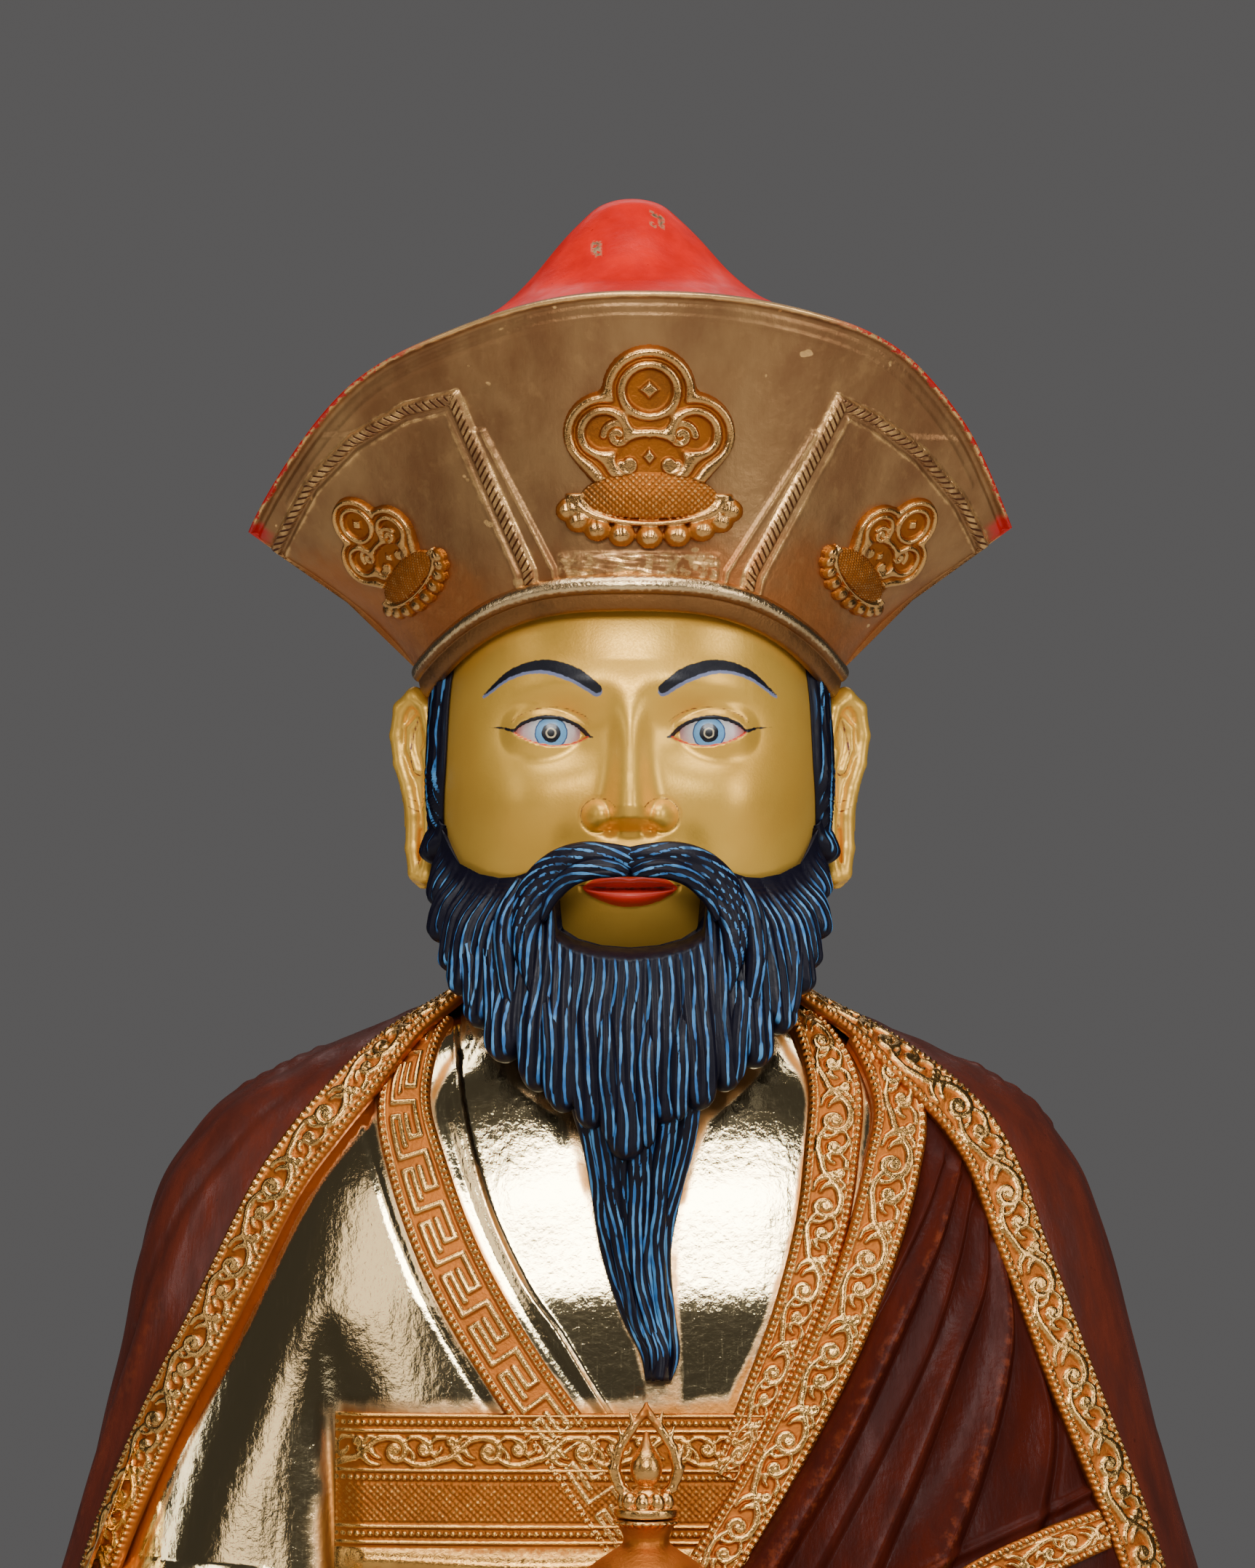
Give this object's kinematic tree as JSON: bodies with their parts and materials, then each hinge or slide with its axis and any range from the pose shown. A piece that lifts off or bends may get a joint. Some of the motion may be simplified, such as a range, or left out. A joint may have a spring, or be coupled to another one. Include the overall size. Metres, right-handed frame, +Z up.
{
  "type": "seated gilt statue",
  "caption": "Seated bearded teacher in a wide flared hat, a lidded vase in the lap, on a double-lotus pedestal.",
  "frame": {"origin": "centre of the pedestal's foot, on the plane it stands on", "axes": "+Z up; the figure faces -Y; its left hand is towards +X"},
  "size_m": [0.232, 0.164, 0.3397],
  "materials": {
    "polished_gilt": "mirror-polished gold over copper, fine brush scratches",
    "chased_gilt": "chased gold with orange-brown recesses",
    "aged_gilt": "worn satin gold, grey-brown",
    "face_gold": "satin gold paint with painted features",
    "hair_paint": "satin navy paint with light blue strokes",
    "red_lacquer": "glossy red lacquer",
    "brown_lacquer": "satin maroon-brown lacquer over copper",
    "copper": "plain rolled copper"
  },
  "bodies": {
    "figure": {"lotus_pedestal": "chased_gilt", "base_seal_plate": "copper", "plate_tab_front": "copper", "plate_tab_back": "copper", "plate_tab_left": "copper", "plate_tab_right": "copper", "lower_robe": "brown_lacquer", "seat_tang_left": "copper", "seat_tang_right": "copper", "torso": "polished_gilt", "sleeve_right": "polished_gilt", "sleeve_left": "brown_lacquer", "hand_right": "polished_gilt", "hand_left": "polished_gilt", "wrist_peg_right": "copper", "wrist_peg_left": "copper", "cloak": "brown_lacquer", "cloak_border_right": "chased_gilt", "cloak_border_left": "chased_gilt", "scroll_collar_outer": "chased_gilt", "scroll_collar_inner": "chased_gilt", "key_collar": "chased_gilt", "shawl": "brown_lacquer", "sleeve_hem_left": "chased_gilt", "waist_sash": "chased_gilt", "head": "face_gold", "neck_pin": "copper", "hair": "hair_paint", "ear_left": "face_gold", "ear_right": "face_gold", "beard": "hair_paint"},
    "hat": {"hat_headband": "polished_gilt", "hat_brim_front": "aged_gilt", "hat_brim_back": "aged_gilt", "hat_crown": "red_lacquer", "hat_flap_left": "aged_gilt", "hat_flap_right": "aged_gilt", "hat_emblem_centre": "chased_gilt", "hat_emblem_right": "chased_gilt", "hat_emblem_left": "chased_gilt"},
    "vase": {"vase_body": "chased_gilt"},
    "lid": {"vase_lid": "chased_gilt"}
  },
  "joints": [
    {"name": "hat_lift", "type": "slide", "parent": "figure", "child": "hat", "axis": [0, 0, 1], "range_m": [0, 0.035]},
    {"name": "vase_lift", "type": "slide", "parent": "figure", "child": "vase", "axis": [0, 0, 1], "range_m": [0, 0.03]},
    {"name": "lid_lift", "type": "slide", "parent": "vase", "child": "lid", "axis": [0, 0, 1], "range_m": [0, 0.008]}
  ]
}
